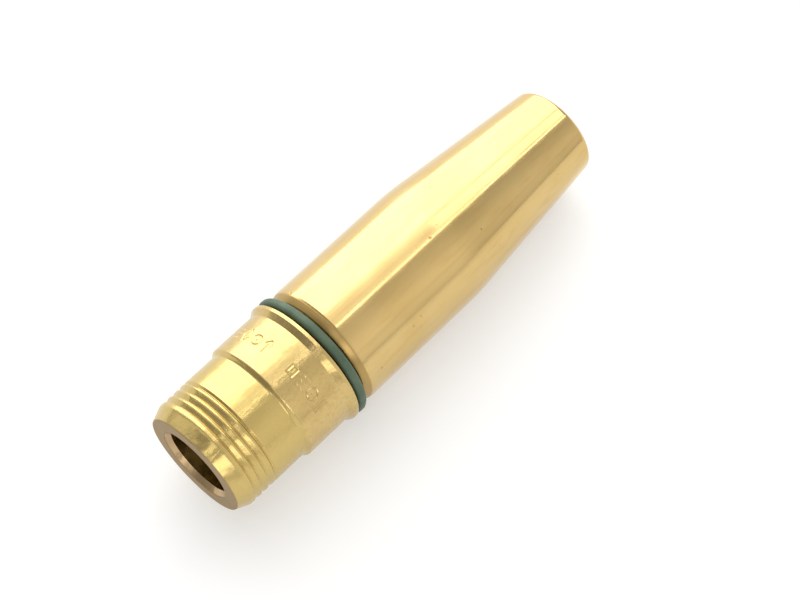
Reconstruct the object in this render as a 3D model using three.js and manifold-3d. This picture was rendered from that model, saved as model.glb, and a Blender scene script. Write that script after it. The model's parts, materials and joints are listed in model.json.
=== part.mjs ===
// Oil burner nozzle: a turned brass body in two screwed halves, with a strainer, a spring-loaded
// anti-drip valve and a swirl-type spray tip inside.
// Units are millimetres. +X runs along the nozzle from the inlet face to the spray tip, +Z is up,
// and the origin is the centre of the inlet face.

import * as THREE from 'three';
import { mergeVertices } from 'three/addons/utils/BufferGeometryUtils.js';
import Module from 'manifold-3d';

const wasm = await Module();
wasm.setup();

// ---------------------------------------------------------------- driving dimensions

const BODY_SIDES = 40;
const SMALL_SIDES = 24;
const CLEARANCE = 0.1;
const FACE_GAP = 0.03;
const SMALL_CHAMFER = 0.4;

// Inlet half, outside
const INLET_FACE_RADIUS = 9.85;
const SPIGOT_RADIUS = 10.95;
const INLET_CHAMFER_END = 2.5;
const FIRST_GROOVE_X = 3.2;
const RIDGE_COUNT = 3;
const RIDGE_PITCH = 1.47;
const RIDGE_DEPTH = 0.5;
const RIDGE_FALL = 0.25;
const RIDGE_RISE = 0.8;
const LAST_GROOVE_DEPTH = 0.3;
const LAST_GROOVE_RISE = 0.37;
const GROOVE_FLOOR = 0.08;
const NECK_END = 14.6;
const MARKED_BAND_START = 15.5;
const MARKED_BAND_END = 24.2;
const MARKED_BAND_RADIUS = 11.63;
const COLLAR_START = 25.25;
const COLLAR_END = 25.9;
const COLLAR_RADIUS = 12.4;
const GLAND_RADIUS = 10.6;
const JOINT_X = 28.5;
const TAIL_RADIUS = 9.0;
const TAIL_END = 45.2;

// Inlet half, inside
const INLET_BORE_RADIUS = 6.5;
const COUNTERSINK_RADIUS = 7.2;
const COUNTERSINK_DEPTH = 1.0;
const WEB_START = 29.0;
const WEB_END = 30.5;
const WEB_HOLE_RADIUS = 5.2;

// Body seal
const BODY_CORD_RADIUS = 0.88;
const BODY_SEAL_X = 27.25;

// Barrel, outside
const BARREL_RADIUS = 11.8;
const BARREL_EDGE_RADIUS = 11.0;
const BARREL_CHAMFER_END = 29.9;
const TAPER_START = 56.8;
const TAPER_ANGLE = THREE.MathUtils.degToRad(5.6);
const TAPER_BLEND_RADIUS = 60;
const LENGTH = 89.3;
const TIP_CORNER_LENGTH = 1.2;
const TIP_CORNER_DROP = 2.4;

// Barrel, inside
const CAGE_BORE_RADIUS = 8.0;
const CAGE_SHOULDER_X = 48.0;
const CAGE_BORE_END = 66.5;
const NOSE_BORE_RADIUS = 5.0;
const NOSE_BORE_START = 68.5;
const NOSE_SHOULDER_X = 85.0;
const EXIT_RADIUS = 3.3;
const EXIT_CONE_START = 86.3;
const EXIT_CONE_RADIUS = 4.6;

// Strainer
const SNAP_RING_THICKNESS = 0.8;
const SNAP_RING_GAP = THREE.MathUtils.degToRad(48);
const STRAINER_RING_WIDTH = 0.9;
const CAGE_RING_WIDTH = 0.8;
const SNAP_GROOVE_DEPTH = 0.55;
const STRAINER_FLANGE_START = 27.6;
const STRAINER_FLANGE_RADIUS = 6.35;
const STRAINER_RADIUS = 5.0;
const STRAINER_WALL = 0.8;
const STRAINER_END = 41.0;
const MESH_THICKNESS = 0.3;
const MESH_START_GAP = 0.5;
const CAP_THICKNESS = 1.4;
const CAP_PLUG_LENGTH = 1.2;
const WINDOW_LENGTH = 3.9;
const WINDOW_WIDTH = 4.4;
const WINDOW_CENTRES = [33.0, 37.9];

// Valve cartridge
const WASHER_START = TAIL_END + FACE_GAP;
const CAGE_START = 46.0;
const CAGE_END = 66.0;
const CAGE_BODY_RADIUS = CAGE_BORE_RADIUS - CLEARANCE;
const CAGE_FLANGE_RADIUS = TAIL_RADIUS - 1.5 * CLEARANCE;
const CAGE_INNER_RADIUS = 5.6;
const CAGE_SEAL_X = 57.0;
const CAGE_CORD_RADIUS = 0.5;
const CAGE_GROOVE_SIDE_GAP = 0.15;
const CAGE_CORD_SQUEEZE = 0.03;
const SEAT_POCKET_RADIUS = 6.6;
const SEAT_POCKET_END = 49.5;
const SEAT_START = 46.3;
const SEAT_FACE_X = 49.2;
const SEAT_HOLE_RADIUS = 3.2;
const SEAT_COUNTERSINK = 0.8;
const SEAT_LIP_RADIUS = 4.2;
const SEAT_LIP_FOOT_RADIUS = 4.9;
const SEAT_GASKET_RADIUS = 5.65;
const RETAINER_START = 61.0;
const RETAINER_THICKNESS = 2.0;
const FLOW_HOLE_COUNT = 6;
const FLOW_HOLE_RADIUS = 0.85;
const FLOW_HOLE_CIRCLE = 4.2;

// Poppet, closed on its seat
const STEM_RADIUS = 1.5;
const STEM_CLEARANCE = 0.08;
const STEM_END = 64.5;
const POPPET_FACE_X = 50.0;
const POPPET_BACK_X = 51.5;
const POPPET_HEAD_RADIUS = 4.6;
const POPPET_NECK_RADIUS = 2.1;
const POPPET_NECK_LENGTH = 1.2;
const POPPET_SEAL_RADIUS = 4.4;
const SEAT_CLEARANCE = 0.05;
const NUT_START = 47.5;
const NUT_ACROSS_CORNERS = 5.2;
const SPRING_RADIUS = 2.9;
const SPRING_WIRE_RADIUS = 0.35;
const SPRING_TURNS = 5;
const SPRING_END_GAP = 0.15;

// Spray tip
const TIP_PIECE_RADIUS = NOSE_BORE_RADIUS - CLEARANCE;
const GASKET_THICKNESS = 0.3;
const ORIFICE_DISC_START = 81.7;
const ORIFICE_RADIUS = 0.6;
const SWIRL_CONE_RADIUS = 3.2;
const SWIRL_CONE_GAP = 0.15;
const SWIRL_CONE_END = 84.3;
const DISTRIBUTOR_START = 77.5;
const DISTRIBUTOR_BODY_RADIUS = 4.3;
const DISTRIBUTOR_NOSE_RADIUS = 1.0;
const SLOT_COUNT = 4;
const SLOT_LENGTH = 7.0;
const SLOT_DEPTH = 0.9;
const SLOT_WIDTH = 0.6;
const SLOT_OFFSET = 0.9;
const LOCK_SCREW_START = 70.0;
const LOCK_SCREW_BORE_RADIUS = 2.1;
const LOCK_SCREW_THREAD_LENGTH = 4.2;
const LOCK_SCREW_NECK_RADIUS = 3.5;
const LOCK_SCREW_BORE_LENGTH = 6.0;
const DRIVER_SLOT_WIDTH = 1.2;
const DRIVER_SLOT_DEPTH = 1.2;
const CROSS_HOLE_RADIUS = 0.7;
const CROSS_HOLE_OFFSET = 1.1;
const THROUGH_CUT = 12;

// ---------------------------------------------------------------- materials

function metal(color, roughness) {
    return new THREE.MeshStandardMaterial({ color, roughness, metalness: 1 });
}

function plainMaterial(color, roughness) {
    return new THREE.MeshStandardMaterial({ color, roughness, metalness: 0 });
}

const satinBrass = () => metal(0xcdb070, 0.38);
const polishedBrass = () => metal(0xd6b878, 0.24);
const turnedBrass = () => metal(0xc9a860, 0.3);
const steel = () => metal(0xb9bcc0, 0.28);
const springSteel = () => metal(0xa4a8ad, 0.32);
const copper = () => metal(0xb87850, 0.35);
const greenRubber = () => plainMaterial(0x55786a, 0.6);
const blackRubber = () => plainMaterial(0x1c1d1e, 0.6);

// ---------------------------------------------------------------- helpers

const nozzle = new THREE.Group();

function addPiece(name, geometry, material) {
    const piece = new THREE.Mesh(geometry, material);
    piece.name = name;
    nozzle.add(piece);
}

// Signed area of a closed outline of [x, radius] points, positive when it runs anticlockwise.
function signedArea(outline) {
    let area = 0;
    outline.forEach(([x, r], i) => {
        const [nextX, nextR] = outline[(i + 1) % outline.length];
        area += (x * nextR - nextX * r) / 2;
    });
    return area;
}

// Turns a closed outline of [x, radius] points about the X axis.
function revolve(outline, sides = SMALL_SIDES) {
    const ordered = signedArea(outline) > 0 ? [...outline].reverse() : outline;
    const onAxis = ordered.findIndex(([, r], i) => r === 0 && ordered[(i + 1) % ordered.length][1] > 0);
    const start = Math.max(onAxis, 0);
    const points = ordered.map((_, i) => ordered[(start + i) % ordered.length]);
    if (onAxis < 0) points.push(points[0]);
    const geometry = new THREE.LatheGeometry(points.map(([x, r]) => new THREE.Vector2(r, x)), sides);
    return geometry.rotateZ(-Math.PI / 2);
}

function ringOutline(start, end, inner, outer) {
    return [[start, inner], [start, outer], [end, outer], [end, inner]];
}

function ring(start, end, inner, outer, sides = SMALL_SIDES) {
    return revolve(ringOutline(start, end, inner, outer), sides);
}

function sealRing(x, radius, cordRadius, cordSides, sides) {
    const outline = [];
    for (let i = 0; i < cordSides; i++) {
        const angle = (2 * Math.PI * (i + 0.5)) / cordSides;
        outline.push([x + cordRadius * Math.cos(angle), radius + cordRadius * Math.sin(angle)]);
    }
    return revolve(outline, sides);
}

// Points of an arc in the [x, radius] plane, angles in radians from the +X direction.
function arc(x, r, radius, from, to, steps) {
    const points = [];
    for (let i = 0; i <= steps; i++) {
        const angle = from + ((to - from) * i) / steps;
        points.push([x + radius * Math.cos(angle), r + radius * Math.sin(angle)]);
    }
    return points;
}

// Extrudes a flat shape of the YZ plane along +X from a start plane.
function plate(shape, start, thickness, curveSegments = 8) {
    const settings = { depth: thickness, bevelEnabled: false, curveSegments };
    const geometry = new THREE.ExtrudeGeometry(shape, settings);
    return geometry.rotateY(Math.PI / 2).translate(start, 0, 0);
}

function toSolid(geometry) {
    const bare = geometry.clone();
    bare.deleteAttribute('normal');
    bare.deleteAttribute('uv');
    const merged = mergeVertices(bare, 1e-4);
    const index = Array.from(merged.index.array);
    const triVerts = [];
    for (let i = 0; i < index.length; i += 3) {
        const [a, b, c] = index.slice(i, i + 3);
        if (a !== b && b !== c && c !== a) triVerts.push(a, b, c);
    }
    return new wasm.Manifold(new wasm.Mesh({
        numProp: 3,
        vertProperties: new Float32Array(merged.attributes.position.array),
        triVerts: new Uint32Array(triVerts),
    }));
}

function toGeometry(solid) {
    const mesh = solid.getMesh();
    const geometry = new THREE.BufferGeometry();
    geometry.setAttribute('position', new THREE.BufferAttribute(new Float32Array(mesh.vertProperties), 3));
    geometry.setIndex(Array.from(mesh.triVerts));
    geometry.computeVertexNormals();
    return geometry;
}

function cut(base, tools) {
    const solid = tools.reduce((left, tool) => left.subtract(toSolid(tool)), toSolid(base));
    return toGeometry(solid);
}

// A C-shaped wire ring with two eyes at its gap.
function snapRingShape(outer, width) {
    const halfGap = SNAP_RING_GAP / 2;
    const inner = outer - width;
    const shape = new THREE.Shape();
    shape.absarc(0, 0, outer, halfGap, 2 * Math.PI - halfGap, false);
    shape.lineTo((inner - width) * Math.cos(halfGap), -(inner - width) * Math.sin(halfGap));
    shape.lineTo((inner - width) * Math.cos(2 * halfGap), -(inner - width) * Math.sin(2 * halfGap));
    shape.absarc(0, 0, inner, -2 * halfGap, -2 * Math.PI + 2 * halfGap, true);
    shape.lineTo((inner - width) * Math.cos(2 * halfGap), (inner - width) * Math.sin(2 * halfGap));
    shape.lineTo((inner - width) * Math.cos(halfGap), (inner - width) * Math.sin(halfGap));
    shape.closePath();
    return shape;
}

// ---------------------------------------------------------------- body

// A groove whose near side falls steeply and whose far side rises gently, as on a hose barb.
function groove(start, depth, rise) {
    const floorStart = start + RIDGE_FALL;
    const floorEnd = floorStart + GROOVE_FLOOR;
    return [
        [start, SPIGOT_RADIUS],
        [floorStart, SPIGOT_RADIUS - depth],
        [floorEnd, SPIGOT_RADIUS - depth],
        [floorEnd + rise, SPIGOT_RADIUS],
    ];
}

function ridgeOutline() {
    const points = [];
    for (let i = 0; i < RIDGE_COUNT; i++) {
        points.push(...groove(FIRST_GROOVE_X + i * RIDGE_PITCH, RIDGE_DEPTH, RIDGE_RISE));
    }
    points.push(...groove(FIRST_GROOVE_X + RIDGE_COUNT * RIDGE_PITCH, LAST_GROOVE_DEPTH, LAST_GROOVE_RISE));
    return points;
}

function smoothStep(x0, r0, x1, r1, steps) {
    const points = [];
    for (let i = 0; i <= steps; i++) {
        const share = i / steps;
        const eased = share * share * (3 - 2 * share);
        points.push([x0 + (x1 - x0) * share, r0 + (r1 - r0) * eased]);
    }
    return points;
}

function makeInletBody() {
    const grooveStart = STRAINER_FLANGE_START - FACE_GAP - SNAP_RING_THICKNESS - FACE_GAP;
    const grooveEnd = STRAINER_FLANGE_START;
    const grooveRadius = INLET_BORE_RADIUS + SNAP_GROOVE_DEPTH;
    return revolve([
        [0, COUNTERSINK_RADIUS],
        [0, INLET_FACE_RADIUS],
        [INLET_CHAMFER_END, SPIGOT_RADIUS],
        ...ridgeOutline(),
        ...smoothStep(NECK_END, SPIGOT_RADIUS, MARKED_BAND_START, MARKED_BAND_RADIUS, 5),
        [MARKED_BAND_END, MARKED_BAND_RADIUS],
        [COLLAR_START, COLLAR_RADIUS],
        [COLLAR_END, COLLAR_RADIUS],
        [COLLAR_END, GLAND_RADIUS],
        [JOINT_X, GLAND_RADIUS],
        [JOINT_X, TAIL_RADIUS],
        [TAIL_END, TAIL_RADIUS],
        [TAIL_END, INLET_BORE_RADIUS],
        [WEB_END, INLET_BORE_RADIUS],
        [WEB_END, WEB_HOLE_RADIUS],
        [WEB_START, WEB_HOLE_RADIUS],
        [WEB_START, INLET_BORE_RADIUS],
        [grooveEnd, INLET_BORE_RADIUS],
        [grooveEnd, grooveRadius],
        [grooveStart, grooveRadius],
        [grooveStart, INLET_BORE_RADIUS],
        [COUNTERSINK_DEPTH, INLET_BORE_RADIUS],
    ], BODY_SIDES);
}

function taperRadius(x) {
    return BARREL_RADIUS - (x - TAPER_START) * Math.tan(TAPER_ANGLE);
}

// The rounded end of the taper: a quarter of an ellipse that starts along the taper.
function tipCorner(steps) {
    const cornerX = LENGTH - TIP_CORNER_LENGTH;
    const points = [];
    for (let i = 0; i <= steps; i++) {
        const angle = ((Math.PI / 2) * i) / steps;
        const x = cornerX + TIP_CORNER_LENGTH * Math.sin(angle);
        points.push([x, taperRadius(x) - TIP_CORNER_DROP * (1 - Math.cos(angle))]);
    }
    return points;
}

function makeBarrel() {
    const blendReach = TAPER_BLEND_RADIUS * Math.tan(TAPER_ANGLE / 2);
    const blendCentre = [TAPER_START - blendReach, BARREL_RADIUS - TAPER_BLEND_RADIUS];
    const quarter = Math.PI / 2;
    const threadBore = TAIL_RADIUS + CLEARANCE;
    return revolve([
        [JOINT_X + FACE_GAP, threadBore],
        [JOINT_X + FACE_GAP, BARREL_EDGE_RADIUS],
        [BARREL_CHAMFER_END, BARREL_RADIUS],
        ...arc(...blendCentre, TAPER_BLEND_RADIUS, quarter, quarter - TAPER_ANGLE, 5),
        ...tipCorner(6),
        [LENGTH, EXIT_CONE_RADIUS],
        [EXIT_CONE_START, EXIT_RADIUS],
        [NOSE_SHOULDER_X, EXIT_RADIUS],
        [NOSE_SHOULDER_X, NOSE_BORE_RADIUS],
        [NOSE_BORE_START, NOSE_BORE_RADIUS],
        [CAGE_BORE_END, CAGE_BORE_RADIUS],
        [CAGE_SHOULDER_X, CAGE_BORE_RADIUS],
        [CAGE_SHOULDER_X, threadBore],
    ], BODY_SIDES);
}

addPiece('inlet_body', makeInletBody(), satinBrass());
addPiece('barrel', makeBarrel(), polishedBrass());
const bodySealRadius = GLAND_RADIUS + FACE_GAP + BODY_CORD_RADIUS;
addPiece('body_o_ring', sealRing(BODY_SEAL_X, bodySealRadius, BODY_CORD_RADIUS, 10, BODY_SIDES),
    greenRubber());

// ---------------------------------------------------------------- strainer

function makeStrainerFrame() {
    const flangeEnd = WEB_START - FACE_GAP;
    const inner = STRAINER_RADIUS - STRAINER_WALL;
    const tube = revolve([
        [STRAINER_FLANGE_START, inner],
        [STRAINER_FLANGE_START, STRAINER_FLANGE_RADIUS],
        [flangeEnd, STRAINER_FLANGE_RADIUS],
        [flangeEnd, STRAINER_RADIUS],
        [STRAINER_END, STRAINER_RADIUS],
        [STRAINER_END, inner],
    ]);
    const windows = [];
    for (const x of WINDOW_CENTRES) {
        windows.push(new THREE.BoxGeometry(WINDOW_LENGTH, THROUGH_CUT, WINDOW_WIDTH).translate(x, 0, 0));
        windows.push(new THREE.BoxGeometry(WINDOW_LENGTH, WINDOW_WIDTH, THROUGH_CUT).translate(x, 0, 0));
    }
    return cut(tube, windows);
}

function makeStrainerCap() {
    const plugRadius = STRAINER_RADIUS - STRAINER_WALL - MESH_THICKNESS - 2 * FACE_GAP;
    const capStart = STRAINER_END + FACE_GAP;
    return revolve([
        [capStart - CAP_PLUG_LENGTH, 0],
        [capStart - CAP_PLUG_LENGTH, plugRadius],
        [capStart, plugRadius],
        [capStart, STRAINER_RADIUS],
        [capStart + CAP_THICKNESS - SMALL_CHAMFER, STRAINER_RADIUS],
        [capStart + CAP_THICKNESS, STRAINER_RADIUS - SMALL_CHAMFER],
        [capStart + CAP_THICKNESS, 0],
    ]);
}

const meshOuter = STRAINER_RADIUS - STRAINER_WALL - FACE_GAP;
const snapRingStart = STRAINER_FLANGE_START - FACE_GAP - SNAP_RING_THICKNESS;

addPiece('strainer_snap_ring',
    plate(snapRingShape(INLET_BORE_RADIUS + SNAP_GROOVE_DEPTH - CLEARANCE, STRAINER_RING_WIDTH),
        snapRingStart, SNAP_RING_THICKNESS),
    springSteel());
addPiece('strainer_frame', makeStrainerFrame(), turnedBrass());
const meshStart = STRAINER_FLANGE_START + MESH_START_GAP;
addPiece('strainer_mesh', ring(meshStart, STRAINER_END, meshOuter - MESH_THICKNESS, meshOuter), steel());
addPiece('strainer_cap', makeStrainerCap(), turnedBrass());

// ---------------------------------------------------------------- valve cartridge

function makeValveCage() {
    const grooveHalf = CAGE_CORD_RADIUS + CAGE_GROOVE_SIDE_GAP;
    const grooveRadius = CAGE_BODY_RADIUS - 2 * CAGE_CORD_RADIUS;
    const clipStart = RETAINER_START + RETAINER_THICKNESS;
    const clipRadius = CAGE_INNER_RADIUS + SNAP_GROOVE_DEPTH;
    return revolve([
        [CAGE_START, SEAT_POCKET_RADIUS],
        [CAGE_START, CAGE_FLANGE_RADIUS],
        [CAGE_SHOULDER_X - FACE_GAP, CAGE_FLANGE_RADIUS],
        [CAGE_SHOULDER_X - FACE_GAP, CAGE_BODY_RADIUS],
        [CAGE_SEAL_X - grooveHalf, CAGE_BODY_RADIUS],
        [CAGE_SEAL_X - grooveHalf, grooveRadius],
        [CAGE_SEAL_X + grooveHalf, grooveRadius],
        [CAGE_SEAL_X + grooveHalf, CAGE_BODY_RADIUS],
        [CAGE_END - SMALL_CHAMFER, CAGE_BODY_RADIUS],
        [CAGE_END, CAGE_BODY_RADIUS - SMALL_CHAMFER],
        [CAGE_END, CAGE_INNER_RADIUS],
        [clipStart + 2 * FACE_GAP + SNAP_RING_THICKNESS, CAGE_INNER_RADIUS],
        [clipStart + 2 * FACE_GAP + SNAP_RING_THICKNESS, clipRadius],
        [clipStart, clipRadius],
        [clipStart, CAGE_INNER_RADIUS],
        [SEAT_POCKET_END, CAGE_INNER_RADIUS],
        [SEAT_POCKET_END, SEAT_POCKET_RADIUS],
    ], BODY_SIDES);
}

function makeValveSeat() {
    const outer = SEAT_POCKET_RADIUS - CLEARANCE;
    const gasketStart = SEAT_POCKET_END - GASKET_THICKNESS;
    return revolve([
        [SEAT_START, SEAT_HOLE_RADIUS + SEAT_COUNTERSINK],
        [SEAT_START, outer],
        [gasketStart - FACE_GAP, outer],
        [gasketStart - FACE_GAP, SEAT_LIP_FOOT_RADIUS],
        [SEAT_FACE_X, SEAT_LIP_RADIUS],
        [SEAT_FACE_X, SEAT_HOLE_RADIUS],
        [SEAT_START + SEAT_COUNTERSINK, SEAT_HOLE_RADIUS],
    ]);
}

function makePoppet() {
    return revolve([
        [NUT_START - SMALL_CHAMFER, 0],
        [NUT_START - SMALL_CHAMFER, STEM_RADIUS],
        [POPPET_FACE_X, STEM_RADIUS],
        [POPPET_FACE_X, POPPET_HEAD_RADIUS],
        [POPPET_BACK_X - SMALL_CHAMFER, POPPET_HEAD_RADIUS],
        [POPPET_BACK_X, POPPET_HEAD_RADIUS - SMALL_CHAMFER],
        [POPPET_BACK_X, POPPET_NECK_RADIUS],
        [POPPET_BACK_X + POPPET_NECK_LENGTH, STEM_RADIUS],
        [STEM_END - SMALL_CHAMFER, STEM_RADIUS],
        [STEM_END, STEM_RADIUS - SMALL_CHAMFER],
        [STEM_END, 0],
    ]);
}

function makeSealNut() {
    const shape = new THREE.Shape();
    for (let i = 0; i < 6; i++) {
        const angle = (i * Math.PI) / 3;
        const y = (NUT_ACROSS_CORNERS / 2) * Math.cos(angle);
        const z = (NUT_ACROSS_CORNERS / 2) * Math.sin(angle);
        if (i === 0) shape.moveTo(y, z);
        else shape.lineTo(y, z);
    }
    shape.closePath();
    const hole = new THREE.Path();
    hole.absarc(0, 0, STEM_RADIUS + STEM_CLEARANCE, 0, 2 * Math.PI, true);
    shape.holes.push(hole);
    return plate(shape, NUT_START, SEAT_FACE_X + SEAT_CLEARANCE - FACE_GAP - NUT_START, SMALL_SIDES / 2);
}

class Helix extends THREE.Curve {
    constructor(start, end, radius, turns) {
        super();
        Object.assign(this, { start, end, radius, turns });
    }

    getPoint(t, target = new THREE.Vector3()) {
        const angle = 2 * Math.PI * this.turns * t;
        const x = this.start + (this.end - this.start) * t;
        return target.set(x, this.radius * Math.cos(angle), this.radius * Math.sin(angle));
    }
}

function makeSpring() {
    const end = RETAINER_START - SPRING_WIRE_RADIUS - SPRING_END_GAP;
    const start = POPPET_BACK_X + SPRING_WIRE_RADIUS + SPRING_END_GAP;
    const wire = new THREE.Shape();
    wire.absarc(0, 0, SPRING_WIRE_RADIUS, 0, 2 * Math.PI, false);
    return new THREE.ExtrudeGeometry(wire, {
        steps: SPRING_TURNS * 12,
        curveSegments: 4,
        bevelEnabled: false,
        extrudePath: new Helix(start, end, SPRING_RADIUS, SPRING_TURNS),
    });
}

function makeSpringRetainer() {
    const shape = new THREE.Shape();
    shape.absarc(0, 0, CAGE_INNER_RADIUS - CLEARANCE, 0, 2 * Math.PI, false);
    const stemHole = new THREE.Path();
    stemHole.absarc(0, 0, STEM_RADIUS + STEM_CLEARANCE, 0, 2 * Math.PI, true);
    shape.holes.push(stemHole);
    for (let i = 0; i < FLOW_HOLE_COUNT; i++) {
        const angle = (2 * Math.PI * i) / FLOW_HOLE_COUNT;
        const y = FLOW_HOLE_CIRCLE * Math.cos(angle);
        const z = FLOW_HOLE_CIRCLE * Math.sin(angle);
        const flowHole = new THREE.Path();
        flowHole.absarc(y, z, FLOW_HOLE_RADIUS, 0, 2 * Math.PI, true);
        shape.holes.push(flowHole);
    }
    return plate(shape, RETAINER_START, RETAINER_THICKNESS, SMALL_SIDES / 2);
}

const cageCordRadius = CAGE_CORD_RADIUS - CAGE_CORD_SQUEEZE;
const cageSealRadius = CAGE_BODY_RADIUS - cageCordRadius;
const poppetSealStart = SEAT_FACE_X + SEAT_CLEARANCE;

const washerBore = INLET_BORE_RADIUS + 2 * CLEARANCE;
addPiece('tail_washer', ring(WASHER_START, CAGE_START - FACE_GAP, washerBore, CAGE_FLANGE_RADIUS), copper());
addPiece('valve_cage', makeValveCage(), turnedBrass());
addPiece('cage_o_ring', sealRing(CAGE_SEAL_X, cageSealRadius, cageCordRadius, 8, BODY_SIDES), blackRubber());
addPiece('valve_seat', makeValveSeat(), steel());
addPiece('seat_gasket',
    ring(SEAT_POCKET_END - GASKET_THICKNESS, SEAT_POCKET_END - FACE_GAP, SEAT_GASKET_RADIUS,
        SEAT_POCKET_RADIUS - CLEARANCE), copper());
addPiece('poppet', makePoppet(), steel());
addPiece('poppet_seal',
    ring(poppetSealStart, POPPET_FACE_X - FACE_GAP, STEM_RADIUS + STEM_CLEARANCE, POPPET_SEAL_RADIUS),
    blackRubber());
addPiece('poppet_seal_nut', makeSealNut(), turnedBrass());
addPiece('closing_spring', makeSpring(), springSteel());
addPiece('spring_retainer', makeSpringRetainer(), turnedBrass());
addPiece('retainer_clip',
    plate(snapRingShape(CAGE_INNER_RADIUS + SNAP_GROOVE_DEPTH - CLEARANCE, CAGE_RING_WIDTH),
        RETAINER_START + RETAINER_THICKNESS + FACE_GAP, SNAP_RING_THICKNESS),
    springSteel());

// ---------------------------------------------------------------- spray tip

function makeLockScrew() {
    const end = DISTRIBUTOR_START - FACE_GAP;
    const neckStart = LOCK_SCREW_START + LOCK_SCREW_THREAD_LENGTH;
    const boreEnd = LOCK_SCREW_START + LOCK_SCREW_BORE_LENGTH;
    const blank = revolve([
        [LOCK_SCREW_START, LOCK_SCREW_BORE_RADIUS],
        [LOCK_SCREW_START, TIP_PIECE_RADIUS],
        [neckStart, TIP_PIECE_RADIUS],
        [neckStart, LOCK_SCREW_NECK_RADIUS],
        [end, LOCK_SCREW_NECK_RADIUS],
        [end, 0],
        [boreEnd, 0],
        [boreEnd, LOCK_SCREW_BORE_RADIUS],
    ]);
    const driverSlot = new THREE.BoxGeometry(2 * DRIVER_SLOT_DEPTH, THROUGH_CUT, DRIVER_SLOT_WIDTH);
    driverSlot.translate(LOCK_SCREW_START, 0, 0);
    const crossHole = new THREE.CylinderGeometry(CROSS_HOLE_RADIUS, CROSS_HOLE_RADIUS, THROUGH_CUT, 10);
    crossHole.translate(neckStart + CROSS_HOLE_OFFSET, 0, 0);
    const tools = [driverSlot, crossHole, crossHole.clone().rotateX(Math.PI / 2)];
    return cut(blank, tools);
}

function makeDistributor() {
    const coneStart = ORIFICE_DISC_START + CLEARANCE;
    const coneRadius = SWIRL_CONE_RADIUS - SWIRL_CONE_GAP;
    const coneEnd = coneStart + coneRadius - DISTRIBUTOR_NOSE_RADIUS;
    const blank = revolve([
        [DISTRIBUTOR_START, 0],
        [DISTRIBUTOR_START, DISTRIBUTOR_BODY_RADIUS],
        [ORIFICE_DISC_START - FACE_GAP, DISTRIBUTOR_BODY_RADIUS],
        [ORIFICE_DISC_START - FACE_GAP, coneRadius],
        [coneStart, coneRadius],
        [coneEnd, DISTRIBUTOR_NOSE_RADIUS],
        [coneEnd, 0],
    ]);
    const slots = [];
    for (let i = 0; i < SLOT_COUNT; i++) {
        const slot = new THREE.BoxGeometry(SLOT_LENGTH, SLOT_DEPTH, SLOT_WIDTH);
        slot.rotateZ(-Math.PI / 4);
        const slotHeight = (SWIRL_CONE_RADIUS + DISTRIBUTOR_NOSE_RADIUS) / 2;
        slot.translate((coneStart + coneEnd) / 2, slotHeight, SLOT_OFFSET);
        slots.push(slot.rotateX((2 * Math.PI * i) / SLOT_COUNT));
    }
    return cut(blank, slots);
}

function makeOrificeDisc() {
    const end = NOSE_SHOULDER_X - GASKET_THICKNESS - FACE_GAP;
    return revolve([
        [ORIFICE_DISC_START, SWIRL_CONE_RADIUS],
        [ORIFICE_DISC_START, TIP_PIECE_RADIUS],
        [end, TIP_PIECE_RADIUS],
        [end, ORIFICE_RADIUS],
        [SWIRL_CONE_END, ORIFICE_RADIUS],
    ]);
}

addPiece('distributor_lock_screw', makeLockScrew(), turnedBrass());
addPiece('swirl_distributor', makeDistributor(), steel());
addPiece('orifice_disc', makeOrificeDisc(), steel());
const noseGasketStart = NOSE_SHOULDER_X - GASKET_THICKNESS;
addPiece('nose_gasket',
    ring(noseGasketStart, NOSE_SHOULDER_X - FACE_GAP, EXIT_RADIUS + CLEARANCE, TIP_PIECE_RADIUS), copper());

export default nozzle;
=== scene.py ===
"""An oil burner nozzle lying on a pale table.

The turned pieces are read from the CAD frame as outlines and turned again with fine steps and rounded
edges. The marks on the band are pressed into its mesh. The strainer's gauze and the spring are made of
wires, and seven small pieces keep their CAD mesh. Lengths are in metres, and MM turns millimetres into
metres. Angles around the nozzle are measured from +Z towards -Y.
"""

import json
import math

import bpy
import numpy as np
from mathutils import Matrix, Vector


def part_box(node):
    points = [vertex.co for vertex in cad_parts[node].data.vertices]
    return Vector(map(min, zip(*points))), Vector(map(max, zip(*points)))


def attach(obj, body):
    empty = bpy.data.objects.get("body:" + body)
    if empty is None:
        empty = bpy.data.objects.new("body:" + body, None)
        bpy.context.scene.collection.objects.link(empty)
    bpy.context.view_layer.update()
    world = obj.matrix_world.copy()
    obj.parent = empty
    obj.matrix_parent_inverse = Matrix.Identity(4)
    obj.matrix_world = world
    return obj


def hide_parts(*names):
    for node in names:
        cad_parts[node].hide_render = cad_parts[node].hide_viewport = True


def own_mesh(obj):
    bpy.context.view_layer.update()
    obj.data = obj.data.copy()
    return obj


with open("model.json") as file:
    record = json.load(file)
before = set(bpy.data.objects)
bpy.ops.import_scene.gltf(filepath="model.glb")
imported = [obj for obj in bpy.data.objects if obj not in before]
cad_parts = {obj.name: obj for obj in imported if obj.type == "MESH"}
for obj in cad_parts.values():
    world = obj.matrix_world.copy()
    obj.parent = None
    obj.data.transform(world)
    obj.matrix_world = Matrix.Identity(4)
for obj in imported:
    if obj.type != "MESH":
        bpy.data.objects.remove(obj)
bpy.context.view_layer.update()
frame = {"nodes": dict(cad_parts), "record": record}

MM = 0.001
# Places closer than this count as one.
TOUCH = 0.001 * MM

# ---------------------------------------------------------------- camera and floor

CAMERA_LENS = 90.0
CAMERA_SENSOR = 36.0
CAMERA_ELEVATION = math.radians(62.46)
CAMERA_AZIMUTH = math.radians(46.63)
CAMERA_DISTANCE = 340.8 * MM
CAMERA_AIM = Vector((45.2, -3.5, 0.0)) * MM
# The surface normal that faces the camera, as an angle around the nozzle.
FACING = math.radians(20.3)

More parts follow.
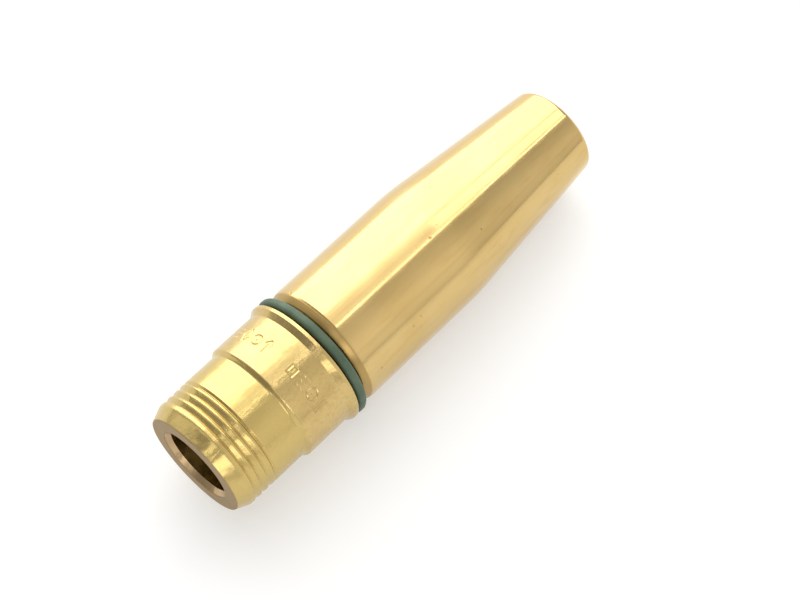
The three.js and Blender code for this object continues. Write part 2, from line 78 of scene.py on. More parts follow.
FLOOR_SIZE = 6.0
FLOOR_SLOPE = math.radians(1.2)
FLOOR_CONTACT = Vector((25.6, 0.0, -12.42)) * MM
FLOOR_COLOUR = (0.54, 0.54, 0.54)
FLOOR_GLOW = 0.40

# ---------------------------------------------------------------- turned surfaces

# A corner that turns by more than this is an edge, and one that turns by less is part of a curve.
SHARP_TURN = math.radians(34.0)
STRAIGHT_TURN = math.radians(0.5)
INLET_EDGE_ROUNDING = 0.09 * MM
BARREL_EDGE_ROUNDING = 0.16 * MM
SMALL_EDGE_ROUNDING = 0.06 * MM
# The largest share of half a side that a rounded edge takes.
ROUNDING_SHARE = 0.8
ROUNDING_STEPS = 3
CURVE_STEPS = 3
# How far from its ends a long side is divided.
SUPPORT = 0.05 * MM
LONGEST_RUN = 2.5 * MM
COARSE_STEP = math.radians(2)
SMALL_STEP = math.radians(5)
CORD_STEP = math.radians(12)

# ---------------------------------------------------------------- marks on the band

# Where the mesh is fine, along the nozzle and around it.
MARK_ROWS = (17.9 * MM, 21.7 * MM)
MARK_ROW_STEP = 0.1 * MM
MARK_ANGLES = (FACING - math.radians(80), FACING + math.radians(45))
MARK_ANGLE_STEP = math.radians(0.58)
# How deep under the band's surface a side of the outline still counts as the band's.
BAND_MARGIN = 0.3 * MM
# The marks' own sizes are in millimetres, and the groups' angles are in degrees from the facing side.
MARK_DEPTH = 0.13
MARK_HALF_WIDTH = 0.2
MARK_FLAT_HALF_WIDTH = 0.03
MARK_LIP = 0.02
MARK_LIP_DISTANCE = 0.29
MARK_LIP_WIDTH = 0.08
MARK_HEIGHT = 2.7
MARK_SPACING = 2.5
MARK_CENTRE_X = 19.8
MARK_GROUPS = ((-50.0, ("dots", "diamond", "target", "arrow")), (16.5, ("square", "dots", "target", "bars")))
DOT_LENGTH = 0.01

# ---------------------------------------------------------------- wires

# The wires are given by their radius.
SPRING_WIRE = 0.35 * MM
SPRING_WIRE_SIDES = 12
SPRING_TURNS = 5
SPRING_CLOSED_TURNS = 0.8
SPRING_CLOSED_PITCH = 2.1 * SPRING_WIRE
SPRING_STEPS_PER_TURN = 40
GAUZE_WIRE = 0.07 * MM
GAUZE_WIRE_SIDES = 6
GAUZE_PITCH = 0.6 * MM
# How far the gauze's middle lies under its outside.
GAUZE_HALF_THICKNESS = 2.1 * GAUZE_WIRE


def outline_of(node):
    """The closed outline of a turned CAD node, as (x, radius).

    It is read from the mesh in the half plane above the X axis. An end face may have no edge there. Its two
    corners are joined, or its corner is joined to the axis.
    """
    mesh = frame["nodes"][node].data
    places = {}
    for vertex in mesh.vertices:
        x, y, z = vertex.co
        if abs(y) < TOUCH and z > -TOUCH:
            places[vertex.index] = (round(x / TOUCH), round(max(z, 0.0) / TOUCH))
    links = {place: set() for place in places.values()}
    for edge in mesh.edges:
        a, b = (places.get(i) for i in edge.vertices)
        if a is not None and b is not None and a != b:
            links[a].add(b)
            links[b].add(a)
    loose = sorted(place for place, others in links.items() if len(others) == 1 and place[1] > 0)
    while loose:
        a = loose.pop()
        partner = next((b for b in loose if b[0] == a[0]), None)
        if partner:
            loose.remove(partner)
        else:
            partner = (a[0], 0)
            links.setdefault(partner, set())
        links[a].add(partner)
        links[partner].add(a)
    poles = sorted(place for place, others in links.items() if place[1] == 0 and len(others) == 1)
    if poles:
        links[poles[0]].add(poles[-1])
        links[poles[-1]].add(poles[0])
    start = min(links)
    walk = [start]
    previous, here = start, sorted(links[start])[0]
    while here != start:
        walk.append(here)
        previous, here = here, next(p for p in sorted(links[here]) if p != previous)
    return [Vector((x, r)) * TOUCH for x, r in walk]


def rounded(outline, rounding):
    """Rounds the edges of an outline by a small radius, and its curves until the corners' arcs meet."""
    points = []
    count = len(outline)
    for i, corner in enumerate(outline):
        before = outline[i - 1] - corner
        after = outline[(i + 1) % count] - corner
        turn = math.pi - before.angle(after)
        if corner.y < TOUCH or turn < STRAIGHT_TURN:
            points.append(corner)
            continue
        half_side = 0.5 * min(before.length, after.length)
        if turn < SHARP_TURN:
            reach, steps = half_side, CURVE_STEPS
        else:
            reach, steps = min(rounding * math.tan(turn / 2), ROUNDING_SHARE * half_side), ROUNDING_STEPS
        start = corner + before.normalized() * reach
        end = corner + after.normalized() * reach
        for k in range(steps + 1):
            t = k / steps
            points.append(start * (1 - t) ** 2 + corner * 2 * t * (1 - t) + end * t ** 2)
    return points


def holds_marks(a, b):
    """Whether the side of the inlet body's outline from a to b is the one that the marks are pressed into."""
    outside = a.y > BAND_RADIUS - BAND_MARGIN
    return outside and min(a.x, b.x) <= MARK_ROWS[0] and max(a.x, b.x) >= MARK_ROWS[1]


def supported(outline, marked):
    """Divides the long sides of an outline near their ends, so that smooth shading keeps them straight.

    Where marked is true, the side that holds the marks gets close rows.
    """
    points = []
    count = len(outline)
    for i, a in enumerate(outline):
        b = outline[(i + 1) % count]
        run = b - a
        if run.length < TOUCH:
            continue
        points.append(a)
        if run.length < 4 * SUPPORT or max(a.y, b.y) < TOUCH:
            continue
        along = run.normalized()
        inner_a, inner_b = a + along * SUPPORT, b - along * SUPPORT
        points.append(inner_a)
        if marked and holds_marks(a, b):
            low, high = MARK_ROWS
            steps = round((high - low) / MARK_ROW_STEP)
            rows = [low + (high - low) * k / steps for k in range(steps + 1)]
            if run.x < 0:
                rows.reverse()
            points.extend(a + run * ((x - a.x) / run.x) for x in rows)
        else:
            steps = max(1, math.ceil((inner_b - inner_a).length / LONGEST_RUN))
            points.extend(inner_a.lerp(inner_b, k / steps) for k in range(1, steps))
        points.append(inner_b)
    return points


def even_angles(step):
    """Evenly spaced angles all the way round."""
    count = round(2 * math.pi / step)
    return [2 * math.pi * k / count for k in range(count)]


def angles_with_fine_part(low, high, fine_step):
    """Angles all the way round, with a finer step from low to high."""
    fine_count = round((high - low) / fine_step)
    coarse_count = round((2 * math.pi - (high - low)) / COARSE_STEP)
    fine = [low + (high - low) * k / fine_count for k in range(fine_count)]
    coarse = [high + (2 * math.pi - (high - low)) * k / coarse_count for k in range(coarse_count)]
    return fine + coarse


def new_piece(name, node, vertices, faces):
    """A smooth piece that takes a CAD node's place, with that node's body, slot and material."""
    body, slot = BODY_OF[node], SLOT_OF[node]
    mesh = bpy.data.meshes.new(name)
    mesh.from_pydata(vertices, [], faces)
    mesh.polygons.foreach_set("use_smooth", [True] * len(mesh.polygons))
    mesh.update()
    piece = bpy.data.objects.new(name, mesh)
    bpy.context.scene.collection.objects.link(piece)
    piece.data.materials.append(MATERIALS[slot])
    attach(piece, body)
    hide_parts(node)
    return piece


def lathe(outline, angles, relief=None):
    """Vertices and faces of an outline turned about the X axis.

    relief(x, angle, radius) says how far the surface is lifted.
    """
    area = sum(a.x * b.y - b.x * a.y for a, b in zip(outline, outline[1:] + outline[:1]))
    if area < 0:
        outline = outline[::-1]
    x = np.array([[p.x] for p in outline])
    r = np.array([[p.y] for p in outline])
    a = np.array([angles])
    radius = r + (relief(x, a, r) if relief else 0 * a)
    corners = np.stack([x + 0 * a, -radius * np.sin(a), radius * np.cos(a)], -1)
    index, vertices = [], []
    for i, point in enumerate(outline):
        if point.y < TOUCH:
            index.append([len(vertices)] * len(angles))
            vertices.append((point.x, 0.0, 0.0))
        else:
            index.append(list(range(len(vertices), len(vertices) + len(angles))))
            vertices.extend(map(tuple, corners[i]))
    faces = []
    for i, row in enumerate(index):
        other = index[(i + 1) % len(index)]
        for j in range(len(angles)):
            k = (j + 1) % len(angles)
            face = list(dict.fromkeys((row[j], row[k], other[k], other[j])))
            if len(face) > 2:
                faces.append(face)
    return vertices, faces


def turned(node, rounding, angles, marked=False):
    """Turns a CAD node's outline again, with rounded edges."""
    outline = supported(rounded(outline_of(node), rounding), marked)
    vertices, faces = lathe(outline, angles, band_relief if marked else None)
    new_piece(node + "_turned", node, vertices, faces)


# ---------------------------------------------------------------- materials


class Nodes:
    """Short calls for the nodes that the materials and the studio's walls share."""

    def __init__(self, tree):
        self.tree = tree

    def link(self, output, target):
        self.tree.links.new(output, target)

    def ranged(self, value, low, high, to_low=0.0, to_high=1.0):
        node = self.tree.nodes.new("ShaderNodeMapRange")
        node.interpolation_type = "SMOOTHSTEP"
        node.inputs["From Min"].default_value = low
        node.inputs["From Max"].default_value = high
        node.inputs["To Min"].default_value = to_low
        node.inputs["To Max"].default_value = to_high
        self.link(value, node.inputs["Value"])
        return node.outputs["Result"]

    def maths(self, operation, a, b):
        node = self.tree.nodes.new("ShaderNodeMath")
        node.operation = operation
        for value, target in ((a, node.inputs[0]), (b, node.inputs[1])):
            if isinstance(value, float):
                target.default_value = value
            else:
                self.link(value, target)
        return node.outputs[0]


class Shader(Nodes):
    """A node material, with short calls for the textures that the finishes share."""

    def __init__(self, name, colour, roughness, metallic):
        self.material = bpy.data.materials.new(name)
        self.material.use_nodes = True
        super().__init__(self.material.node_tree)
        self.bsdf = self.tree.nodes["Principled BSDF"]
        self.bsdf.inputs["Base Color"].default_value = (*colour, 1.0)
        self.bsdf.inputs["Roughness"].default_value = roughness
        self.bsdf.inputs["Metallic"].default_value = metallic
        self.place = self.tree.nodes.new("ShaderNodeTexCoord").outputs["Object"]
        self.normal = None

    def stretched(self, scale, rotation=(0.0, 0.0, 0.0)):
        """Places in the piece's own frame, scaled by axis."""
        mapping = self.tree.nodes.new("ShaderNodeMapping")
        mapping.inputs["Scale"].default_value = scale
        mapping.inputs["Rotation"].default_value = rotation
        self.link(self.place, mapping.inputs["Vector"])
        return mapping.outputs["Vector"]

    def noise(self, scale, detail=3.0, rotation=(0.0, 0.0, 0.0)):
        texture = self.tree.nodes.new("ShaderNodeTexNoise")
        texture.inputs["Scale"].default_value = 1.0
        texture.inputs["Detail"].default_value = detail
        texture.inputs["Roughness"].default_value = 0.55
        self.link(self.stretched(scale, rotation), texture.inputs["Vector"])
        return texture.outputs["Fac"]

    def cell_distance(self, scale):
        """The distance to the nearest of many scattered points, for pits."""
        texture = self.tree.nodes.new("ShaderNodeTexVoronoi")
        texture.inputs["Scale"].default_value = 1.0
        self.link(self.stretched((scale, scale, scale)), texture.inputs["Vector"])
        return texture.outputs["Distance"]

    def blend(self, factor, first, second):
        """The first colour where the factor is 0, and the second where it is 1."""
        node = self.tree.nodes.new("ShaderNodeMix")
        node.data_type = "RGBA"
        self.link(factor, node.inputs["Factor"])
        for value, target in ((first, node.inputs["A"]), (second, node.inputs["B"])):
            if isinstance(value, tuple):
                target.default_value = (*value, 1.0)
            else:
                self.link(value, target)
        return node.outputs["Result"]

    def along_axis(self):
        """How far along the nozzle a place is."""
        node = self.tree.nodes.new("ShaderNodeSeparateXYZ")
        self.link(self.place, node.inputs["Vector"])
        return node.outputs["X"]

    def from_axis(self):
        """How far from the nozzle's axis a place is."""
        across = self.tree.nodes.new("ShaderNodeVectorMath")
        across.operation = "LENGTH"
        self.link(self.stretched((0.0, 1.0, 1.0)), across.inputs[0])
        return across.outputs["Value"]

    def bump(self, height, depth):
        """Adds a height to the bumps that are there already."""
        node = self.tree.nodes.new("ShaderNodeBump")
        node.inputs["Strength"].default_value = 1.0
        node.inputs["Distance"].default_value = depth
        self.link(height, node.inputs["Height"])
        if self.normal is not None:
            self.link(self.normal, node.inputs["Normal"])
        self.normal = node.outputs["Normal"]

    def finish(self, colour=None, roughness=None):
        """Connects what varies over the surface, and gives the material."""
        if colour is not None:
            self.link(colour, self.bsdf.inputs["Base Color"])
        if roughness is not None:
            self.link(roughness, self.bsdf.inputs["Roughness"])
        if self.normal is not None:
            self.link(self.normal, self.bsdf.inputs["Normal"])
        return self.material


BRASS = (0.612, 0.437, 0.177)
BRASS_PALE = (0.644, 0.471, 0.204)
BRASS_DULL = (0.46, 0.29, 0.10)
BRASS_STAIN = (0.56, 0.38, 0.15)
# The barrel's chamfer is painted darker as shade where it meets the O-ring; its higher roughness is its own.
BARREL_CHAMFER_SHADE = (0.44, 0.30, 0.11)
BARREL_CHAMFER_EDGE = (29.75 * MM, 30.0 * MM)
BARREL_CHAMFER_ROUGHNESS = 0.34

SATIN_DARK = (0.549, 0.406, 0.160)
SATIN_LIGHT = (0.637, 0.474, 0.199)
SATIN_MOTTLE = (0.50, 0.35, 0.14)
NECK = (0.58, 0.437, 0.157)
NECK_EDGE = (14.6 * MM, 15.6 * MM)
# The countersink's and the end face's colours are painted shade of the inlet end, which turns away from the
# lights.
COUNTERSINK_SHADE = (0.50, 0.35, 0.19)
COUNTERSINK_BOTTOM = (1.1 * MM, 1.4 * MM)
COUNTERSINK_RIM = (7.15 * MM, 7.3 * MM)
END_FACE_SHADE = (0.36, 0.26, 0.14)
END_FACE_EDGE = (0.02 * MM, 0.3 * MM)
END_FACE_ROUGHNESS = 0.6

TURNED_DARK = (0.60, 0.41, 0.15)
TURNED_LIGHT = (0.74, 0.54, 0.22)

COPPER = (0.78, 0.42, 0.28)
COPPER_DARK = (0.55, 0.27, 0.17)
COPPER_LIGHT = (0.86, 0.50, 0.35)


def polished_brass():
    """Fine-turned brass, polished along the axis, with a few small pits and a rougher chamfer whose darker
    colour is painted shade beside the O-ring.
    """
    shader = Shader("polished_brass", BRASS, 0.2, 1.0)
    cloud = shader.noise((90.0, 90.0, 90.0))
    lines = shader.noise((14.0, 1700.0, 1700.0), detail=2.0)
    rings = shader.noise((5200.0, 40.0, 40.0), detail=2.0)
    smear = shader.noise((60.0, 260.0, 260.0), detail=4.0)
    pit_here = shader.ranged(shader.cell_distance(420.0), 0.06, 0.12, 1.0, 0.0)
    pit_chance = shader.ranged(shader.noise((160.0, 160.0, 160.0)), 0.55, 0.62)
    pit = shader.maths("MULTIPLY", pit_here, pit_chance)
    tone = shader.blend(shader.ranged(cloud, 0.3, 0.7), BRASS, BRASS_PALE)
    tone = shader.blend(pit, tone, BRASS_DULL)
    stain = shader.ranged(shader.noise((110.0, 900.0, 900.0), detail=5.0), 0.45, 0.72, 0.0, 0.45)
    tone = shader.blend(stain, tone, BRASS_STAIN)
    # Painted shade: the chamfer beside the O-ring gets a darker colour, and below it a higher roughness.
    chamfer = shader.ranged(shader.along_axis(), *BARREL_CHAMFER_EDGE, 1.0, 0.0)
    tone = shader.blend(chamfer, tone, BARREL_CHAMFER_SHADE)
    smeared = shader.ranged(smear, 0.3, 0.75, 0.085, 0.17)
    polish = shader.maths("ADD", smeared, shader.ranged(lines, 0.4, 0.7, 0.0, 0.05))
    roughness = shader.maths("MAXIMUM", polish, shader.maths("MULTIPLY", chamfer, BARREL_CHAMFER_ROUGHNESS))
    shader.bump(lines, 0.0014 * MM)
    shader.bump(rings, 0.0006 * MM)
    shader.bump(smear, 0.013 * MM)
    shader.bump(shader.maths("MULTIPLY", pit, -1.0), 0.04 * MM)
    return shader.finish(tone, roughness)


def satin_brass():
    """Tumbled brass with soft dents and scratches every way. The countersink and the end face are painted
    darker and browner as shade on the inlet end, which turns away from the lights, and the end face is
    rougher.
    """
    shader = Shader("satin_brass", BRASS, 0.32, 1.0)
    cloud = shader.noise((120.0, 120.0, 120.0), detail=5.0)
    dents = shader.noise((420.0, 520.0, 520.0))
    grain = shader.noise((3000.0, 3000.0, 3000.0), detail=2.0)
    rings = shader.noise((4200.0, 60.0, 60.0), detail=2.0)
    tone = shader.blend(shader.ranged(cloud, 0.3, 0.7), SATIN_DARK, SATIN_LIGHT)
    tone = shader.blend(shader.ranged(dents, 0.62, 0.8, 0.0, 0.5), tone, BRASS_DULL)
    mottle = shader.noise((1500.0, 1500.0, 1500.0), detail=4.0)
    tone = shader.blend(shader.ranged(mottle, 0.42, 0.7, 0.0, 0.5), tone, SATIN_MOTTLE)
    polish = shader.ranged(cloud, 0.25, 0.75, 0.19, 0.31)
    along = shader.along_axis()
    tone = shader.blend(shader.ranged(along, *NECK_EDGE, 0.8, 0.0), tone, NECK)
    # Painted shade: the countersink is darkened.
    countersink = shader.maths("MULTIPLY", shader.ranged(along, *COUNTERSINK_BOTTOM, 1.0, 0.0),
                               shader.ranged(shader.from_axis(), *COUNTERSINK_RIM, 1.0, 0.0))
    tone = shader.blend(countersink, tone, COUNTERSINK_SHADE)
    # Painted shade: the end face is darkened; its higher roughness is its own.
    end_face = shader.ranged(along, *END_FACE_EDGE, 1.0, 0.0)
    tone = shader.blend(end_face, tone, END_FACE_SHADE)
    roughness = shader.maths("MAXIMUM", polish, shader.maths("MULTIPLY", end_face, END_FACE_ROUGHNESS))
    waves = shader.noise((170.0, 260.0, 260.0), detail=2.0)
    shader.bump(waves, 0.16 * MM)
    shader.bump(dents, 0.05 * MM)
    shader.bump(rings, 0.0008 * MM)
    shader.bump(mottle, 0.006 * MM)
    shader.bump(grain, 0.002 * MM)
    for rotation in ((0.4, 0.7, 0.3), (-0.5, 0.2, 1.1), (0.9, -0.6, -0.4)):
        streak = shader.noise((120.0, 3600.0, 240.0), detail=1.0, rotation=rotation)
        shader.bump(shader.ranged(streak, 0.66, 0.74, 0.0, -1.0), 0.004 * MM)
    return shader.finish(tone, roughness)


def turned_brass():
    """Brass as it comes off the lathe, with fine rings."""
    shader = Shader("turned_brass", BRASS, 0.28, 1.0)
    cloud = shader.noise((200.0, 200.0, 200.0))
    rings = shader.noise((3600.0, 30.0, 30.0), detail=2.0)
    shader.bump(rings, 0.0015 * MM)
    tone = shader.blend(cloud, TURNED_DARK, TURNED_LIGHT)
    return shader.finish(tone, shader.ranged(rings, 0.3, 0.7, 0.2, 0.34))


def rubber(name, dark, light):
    """Matt moulded elastomer with a fine grain and faint paler clouds."""
    shader = Shader(name, dark, 0.55, 0.0)
    shader.bsdf.inputs["Specular IOR Level"].default_value = 0.35
    cloud = shader.noise((260.0, 260.0, 260.0), detail=4.0)
    grain = shader.noise((5200.0, 5200.0, 5200.0), detail=2.0)
    shader.bump(grain, 0.004 * MM)
    shader.bump(cloud, 0.006 * MM)
    tone = shader.blend(shader.ranged(cloud, 0.3, 0.75), dark, light)
    return shader.finish(tone, shader.ranged(grain, 0.3, 0.7, 0.45, 0.62))


def steel(name, colour, stretch, roughness):
    """Drawn or ground steel. stretch is how fine its marks are along X, Y and Z."""
    shader = Shader(name, colour, roughness, 1.0)
    marks = shader.noise(stretch)
    cloud = shader.noise((300.0, 300.0, 300.0))
    shader.bump(marks, 0.0015 * MM)
    dark = tuple(0.82 * c for c in colour)
    tone = shader.blend(shader.ranged(cloud, 0.35, 0.7), dark, colour)
    return shader.finish(tone, shader.ranged(marks, 0.3, 0.7, roughness - 0.06, roughness + 0.08))


def copper():
    """Annealed copper with dark blotches."""
    shader = Shader("copper", COPPER, 0.35, 1.0)
    cloud = shader.noise((500.0, 500.0, 500.0), detail=5.0)
    shader.bump(cloud, 0.006 * MM)
    tone = shader.blend(shader.ranged(cloud, 0.35, 0.7), COPPER_DARK, COPPER_LIGHT)
    return shader.finish(tone, shader.ranged(cloud, 0.3, 0.7, 0.28, 0.45))


MATERIALS = {
    "polished_brass": polished_brass(),
    "satin_brass": satin_brass(),
    "turned_brass": turned_brass(),
    "green_rubber": rubber("green_rubber", (0.060, 0.098, 0.061), (0.098, 0.146, 0.092)),
    "black_rubber": rubber("black_rubber", (0.012, 0.012, 0.013), (0.035, 0.035, 0.036)),
    "spring_steel": steel("spring_steel", (0.56, 0.57, 0.59), (900.0, 900.0, 900.0), 0.28),
    "strainer_gauze": steel("strainer_gauze", (0.62, 0.63, 0.65), (2400.0, 2400.0, 2400.0), 0.25),
    "stainless": steel("stainless", (0.66, 0.67, 0.69), (3600.0, 30.0, 30.0), 0.24),
    "copper": copper(),
}
SLOT_OF = {subpart["node"]: subpart["material_slot"] for subpart in frame["record"]["subparts"]}
BODY_OF = {node: body for body, nodes in frame["record"]["behaviour"]["bodies"].items() for node in nodes}

for node, cad_object in frame["nodes"].items():
    cad_object.data.materials.clear()
    cad_object.data.materials.append(MATERIALS[SLOT_OF[node]])

# ---------------------------------------------------------------- marks


def circle(radius, parts=20):
    """A circle about the middle, as straight strokes."""
    turn = 2 * math.pi / parts
    points = [(radius * math.cos(turn * k), radius * math.sin(turn * k)) for k in range(parts + 1)]
    return list(zip(points, points[1:]))


def closed_line(points):
    """The strokes that join points in a ring."""
    return list(zip(points, points[1:] + points[:1]))


def dot(x, y):
    """One very short stroke."""
    return [((x, y), (x + DOT_LENGTH, y))]


def generic_marks():
    """Punched signs that spell nothing, as strokes of (along, around) millimetres from the band's middle."""
    half = MARK_HEIGHT / 2
    signs = {
        "target": circle(1.0) + dot(0, 0),
        "diamond": closed_line([(-half, 0), (0, -0.85), (half, 0), (0, 0.85)]),
        "arrow": [((-half, 0), (half, 0)), ((half, 0), (half - 0.9, 0.7)), ((half, 0), (half - 0.9, -0.7))],
        "dots": [stroke for x in (-0.95, 0, 0.95) for y in (-0.45, 0.45) for stroke in dot(x, y)],
        "square": closed_line([(-0.8, -0.6), (0.8, -0.6), (0.8, 0.6), (-0.8, 0.6)]),
        "bars": [((-half, y), (half, y)) for y in (-0.55, 0, 0.55)],
    }
    strokes = []
    for angle, names in MARK_GROUPS:
        centre = (FACING + math.radians(angle)) * BAND_RADIUS / MM
        for k, sign in enumerate(names):
            shift = centre + (k - (len(names) - 1) / 2) * MARK_SPACING
            strokes += [((ax, ay + shift), (bx, by + shift)) for (ax, ay), (bx, by) in signs[sign]]
    return strokes


def band_relief(x, angle, radius):
    """How far the marks lift the band's surface: a groove along each stroke, and a small lip beside it."""
    along = x / MM - MARK_CENTRE_X + 0 * angle
    around = np.mod(angle + math.pi, 2 * math.pi) - math.pi
    around = around * BAND_RADIUS / MM + 0 * x
    nearest = np.full(along.shape, np.inf)
    for (ax, ay), (bx, by) in generic_marks():
        dx, dy = bx - ax, by - ay
        share = np.clip(((along - ax) * dx + (around - ay) * dy) / (dx * dx + dy * dy), 0, 1)
        distance = np.hypot(along - ax - share * dx, around - ay - share * dy)
        nearest = np.minimum(nearest, distance)
    t = np.clip((nearest - MARK_FLAT_HALF_WIDTH) / (MARK_HALF_WIDTH - MARK_FLAT_HALF_WIDTH), 0, 1)
    groove = MARK_DEPTH * (1 - t * t * (3 - 2 * t))
    lip = MARK_LIP * np.exp(-(((nearest - MARK_LIP_DISTANCE) / MARK_LIP_WIDTH) ** 2))
    on_band = (radius > BAND_RADIUS - BAND_MARGIN) & (x > MARK_ROWS[0]) & (x < MARK_ROWS[1])
    return np.where(on_band, (lip - groove) * MM, 0.0)


# ---------------------------------------------------------------- pieces

# The band starts less than this far before the marks' first row.
BAND_START = 4 * MM
BAND_RADIUS = max(p.y for p in outline_of("inlet_body") if MARK_ROWS[0] - BAND_START < p.x < MARK_ROWS[0])


def make_o_ring(node, sides):
    """A smooth ring in place of a CAD ring whose cord has that many sides."""
    low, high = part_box(node)
    cord = (high.x - low.x) / 2
    flats = math.cos(math.pi / sides)
    centre = Vector(((high.x + low.x) / 2, high.z - cord))
    outline = [centre + Vector((math.cos(t), math.sin(t))) * cord / flats for t in even_angles(CORD_STEP)]
    outline = [Vector((p.x, min(p.y, high.z))) for p in outline]
    vertices, faces = lathe(outline, even_angles(COARSE_STEP))
    new_piece(node + "_round", node, vertices, faces)


def wire(path, radius, sides, closed=False):
    """Vertices and faces of a round wire along a path that keeps clear of the X axis."""
    last = len(path) - 1
    vertices, faces = [], []
    for i, point in enumerate(path):
        before = path[i - 1] if i > 0 or closed else path[0]
        after = path[i + 1] if i < last else path[0 if closed else last]
        along = (after - before).normalized()
        outward = Vector((0.0, point.y, point.z)).normalized()
        side = along.cross(outward).normalized()
        up = side.cross(along)
        for k in range(sides):
            turn = 2 * math.pi * k / sides
            vertices.append(point + (side * math.cos(turn) + up * math.sin(turn)) * radius)
    for i in range(last + 1 if closed else last):
        a, b = i * sides, (i + 1) % (last + 1) * sides
        for k in range(sides):
            m = (k + 1) % sides
            faces.append((a + k, b + k, b + m, a + m))
    if not closed:
        faces.append(tuple(range(sides)))
        faces.append(tuple(last * sides + k for k in reversed(range(sides))))
    return vertices, faces


def joined(wires):
    """Several wires as one mesh."""
    vertices, faces = [], []
    for some_vertices, some_faces in wires:
        faces += [tuple(k + len(vertices) for k in face) for face in some_faces]
        vertices += some_vertices
    return vertices, faces


def around_axis(x, radius, angle):
    """The place at x, a radius, and an angle from +Y towards +Z."""
    return Vector((x, radius * math.cos(angle), radius * math.sin(angle)))


def make_spring():
    """A wound spring with closed ends."""
    node = "closing_spring"
    low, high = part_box(node)
    radius = high.z - SPRING_WIRE
    length = high.x - low.x - 2 * SPRING_WIRE
    closed_length = SPRING_CLOSED_TURNS * SPRING_CLOSED_PITCH
    steps = SPRING_TURNS * SPRING_STEPS_PER_TURN
    path = []
    for i in range(steps + 1):
        turns = SPRING_TURNS * i / steps
        x = np.interp(turns, (0, SPRING_CLOSED_TURNS, SPRING_TURNS - SPRING_CLOSED_TURNS, SPRING_TURNS),
                      (0, closed_length, length - closed_length, length))
        path.append(around_axis(low.x + SPRING_WIRE + float(x), radius, 2 * math.pi * turns))
    vertices, faces = wire(path, SPRING_WIRE, SPRING_WIRE_SIDES)
    spring = new_piece("closing_spring_wound", node, vertices, faces)
    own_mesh(spring)


def make_strainer_mesh():
    """Plain-woven wire gauze, rolled into a tube."""
    node = "strainer_mesh"
    low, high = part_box(node)
    middle = high.z - GAUZE_HALF_THICKNESS
    rings = round((high.x - low.x) / GAUZE_PITCH)
    step = (high.x - low.x - 2 * GAUZE_WIRE) / rings
    count = 2 * round(math.pi * middle / GAUZE_PITCH)
    wires = []
    for k in range(count):
        path = [around_axis(low.x + GAUZE_WIRE + step * j / 2,
                            middle + GAUZE_WIRE * math.cos(math.pi * (j / 2 + k)),
                            2 * math.pi * k / count) for j in range(2 * rings + 1)]
        wires.append(wire(path, GAUZE_WIRE, GAUZE_WIRE_SIDES))
    for j in range(rings + 1):
        path = [around_axis(low.x + GAUZE_WIRE + step * j,
                            middle - GAUZE_WIRE * math.cos(math.pi * (j + k / 2)),
                            math.pi * k / count) for k in range(2 * count)]
        wires.append(wire(path, GAUZE_WIRE, GAUZE_WIRE_SIDES, closed=True))
    vertices, faces = joined(wires)
    new_piece("strainer_mesh_woven", node, vertices, faces)


turned("inlet_body", INLET_EDGE_ROUNDING, angles_with_fine_part(*MARK_ANGLES, MARK_ANGLE_STEP), marked=True)
turned("barrel", BARREL_EDGE_ROUNDING, even_angles(COARSE_STEP))
make_o_ring("body_o_ring", 10)
make_o_ring("cage_o_ring", 8)
for node in ("strainer_cap", "tail_washer", "valve_cage", "valve_seat", "seat_gasket", "poppet",
             "poppet_seal", "orifice_disc", "nose_gasket"):
    turned(node, SMALL_EDGE_ROUNDING, even_angles(SMALL_STEP))
make_spring()
make_strainer_mesh()
# These keep their CAD mesh.
for node in ("strainer_snap_ring", "strainer_frame", "poppet_seal_nut", "spring_retainer",
             "retainer_clip", "distributor_lock_screw", "swirl_distributor"):
    mesh = frame["nodes"][node].data
    mesh.polygons.foreach_set("use_smooth", [True] * len(mesh.polygons))
    mesh.set_sharp_from_angle(angle=SHARP_TURN)

# ---------------------------------------------------------------- stage


def make_floor():
    """A pale floor. It slopes, because the nozzle rests on its collar and on the narrower barrel."""
    half = FLOOR_SIZE / 2
    mesh = bpy.data.meshes.new("floor")
    corners = [(-half, -half, 0.0), (half, -half, 0.0), (half, half, 0.0), (-half, half, 0.0)]
    mesh.from_pydata(corners, [], [(0, 1, 2, 3)])
    floor = bpy.data.objects.new("floor", mesh)
    bpy.context.scene.collection.objects.link(floor)
    floor.rotation_euler = (0.0, -FLOOR_SLOPE, 0.0)
    floor.location = FLOOR_CONTACT
    shader = Shader("pale_floor", FLOOR_COLOUR, 0.6, 0.0)
    shader.bsdf.inputs["Emission Color"].default_value = (1.0, 1.0, 1.0, 1.0)
    shader.bsdf.inputs["Emission Strength"].default_value = FLOOR_GLOW
    shader.bsdf.inputs["Specular IOR Level"].default_value = 0.2
    floor.data.materials.append(shader.finish())


def make_panel(name, around, x, distance, width, length, radiance):
    """A soft light that faces the nozzle. around is its angle from +Z towards -Y, in degrees."""
    light = bpy.data.lights.new(name, "AREA")
    light.shape = "RECTANGLE"
    light.size = length
    light.size_y = width
    light.energy = radiance * math.pi * width * length
    lamp = bpy.data.objects.new(name, light)
    bpy.context.scene.collection.objects.link(lamp)
    turn = math.radians(around)
    lamp.location = (x, -distance * math.sin(turn), distance * math.cos(turn))
    lamp.rotation_euler = (turn, 0.0, 0.0)
    lamp.visible_camera = False


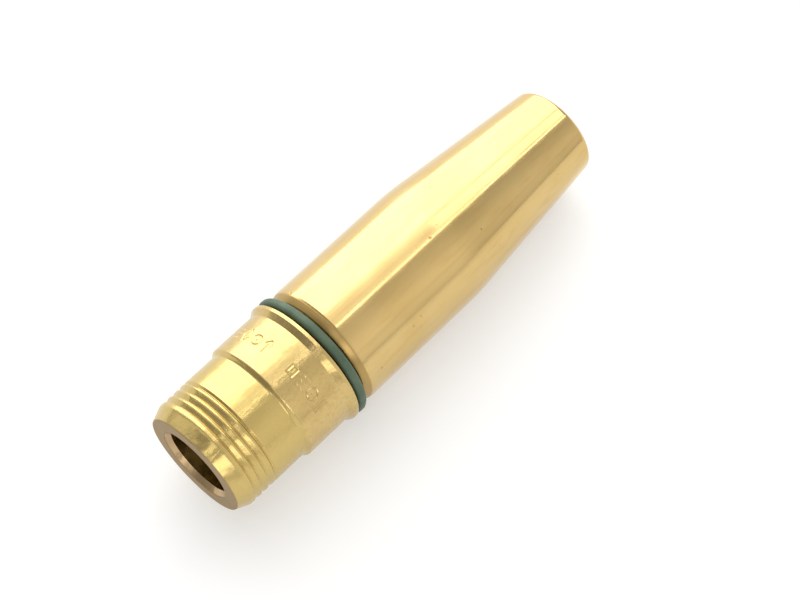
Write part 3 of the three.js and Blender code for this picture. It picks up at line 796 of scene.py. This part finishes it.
# Name, angle around the nozzle, x, distance from the axis, width around, length along, and radiance.
PANELS = (
    ("side_wall", -52.0, 0.68, 0.70, 1.05, 1.40, 2.45),
    ("upper_slope", -11.5, 0.68, 0.90, 0.11, 1.40, 1.35),
    ("overhead_back", -4.5, 0.68, 0.90, 0.11, 1.40, 0.92),
    ("overhead", 4.7, 0.68, 0.90, 0.18, 1.40, 0.72),
    ("overhead_far", -1.0, 0.71, 0.85, 0.27, 0.58, 1.3),
    ("edge_strip", 12.6, 0.68, 0.90, 0.05, 1.40, 3.2),
    ("near_wall", -36.0, -0.38, 0.75, 1.45, 0.18, 0.78),
    ("near_card", 20.0, -0.775, 0.75, 0.15, 0.95, 1.5),
    ("near_window", 57.0, -0.775, 0.75, 0.38, 0.95, 1.9),
)
# Brightness of the studio's walls by angle from +Z towards -Y, in degrees.
WALLS = ((-180, 0.60), (-95, 0.75), (-20, 0.60), (18, 0.75), (36, 0.88), (52, 1.05), (66, 1.13), (69, 0.93),
         (72, 1.08), (84, 0.99), (88, 0.79), (92, 0.84), (180, 0.60))
# The walls dim towards both ends: from one X of a direction to another, from one share to another.
NEAR_END = (-0.45, -0.05, 0.60, 1.0)
FAR_END = (0.38, 0.54, 1.0, 0.84)
WALL_COLOUR = (1.0, 0.98, 0.94)


def make_world():
    """The studio's walls, which the brass mirrors between the panels."""
    world = bpy.data.worlds.new("studio")
    bpy.context.scene.world = world
    world.use_nodes = True
    nodes = Nodes(world.node_tree)
    background = nodes.tree.nodes["Background"]
    direction = nodes.tree.nodes.new("ShaderNodeTexCoord").outputs["Generated"]
    split = nodes.tree.nodes.new("ShaderNodeSeparateXYZ")
    nodes.link(direction, split.inputs["Vector"])
    around = nodes.maths("ARCTAN2", nodes.maths("MULTIPLY", split.outputs["Y"], -1.0), split.outputs["Z"])
    walls = nodes.tree.nodes.new("ShaderNodeValToRGB")
    stops = walls.color_ramp.elements
    for _ in WALLS[2:]:
        stops.new(0.5)
    for stop, (angle, brightness) in zip(stops, WALLS):
        stop.position = (angle + 180) / 360
        stop.color = (brightness, brightness, brightness, 1.0)
    nodes.link(nodes.maths("ADD", nodes.maths("DIVIDE", around, 2 * math.pi), 0.5), walls.inputs["Fac"])
    near_end = nodes.ranged(split.outputs["X"], *NEAR_END)
    far_end = nodes.ranged(split.outputs["X"], *FAR_END)
    ends = nodes.maths("MULTIPLY", near_end, far_end)
    nodes.link(nodes.maths("MULTIPLY", walls.outputs["Color"], ends), background.inputs["Strength"])
    background.inputs["Color"].default_value = (*WALL_COLOUR, 1.0)


def make_camera():
    """A camera at the photo's viewing angle."""
    data = bpy.data.cameras.new("camera")
    data.lens = CAMERA_LENS
    data.sensor_width = CAMERA_SENSOR
    camera = bpy.data.objects.new("camera", data)
    bpy.context.scene.collection.objects.link(camera)
    level = math.cos(CAMERA_ELEVATION)
    back = Vector((-level * math.sin(CAMERA_AZIMUTH), -level * math.cos(CAMERA_AZIMUTH),
                   math.sin(CAMERA_ELEVATION)))
    camera.location = CAMERA_AIM + back * CAMERA_DISTANCE
    camera.rotation_euler = back.to_track_quat("Z", "Y").to_euler()
    bpy.context.scene.camera = camera


make_floor()
for panel in PANELS:
    make_panel(*panel)
make_world()
make_camera()
bpy.context.scene.view_settings.view_transform = "Standard"
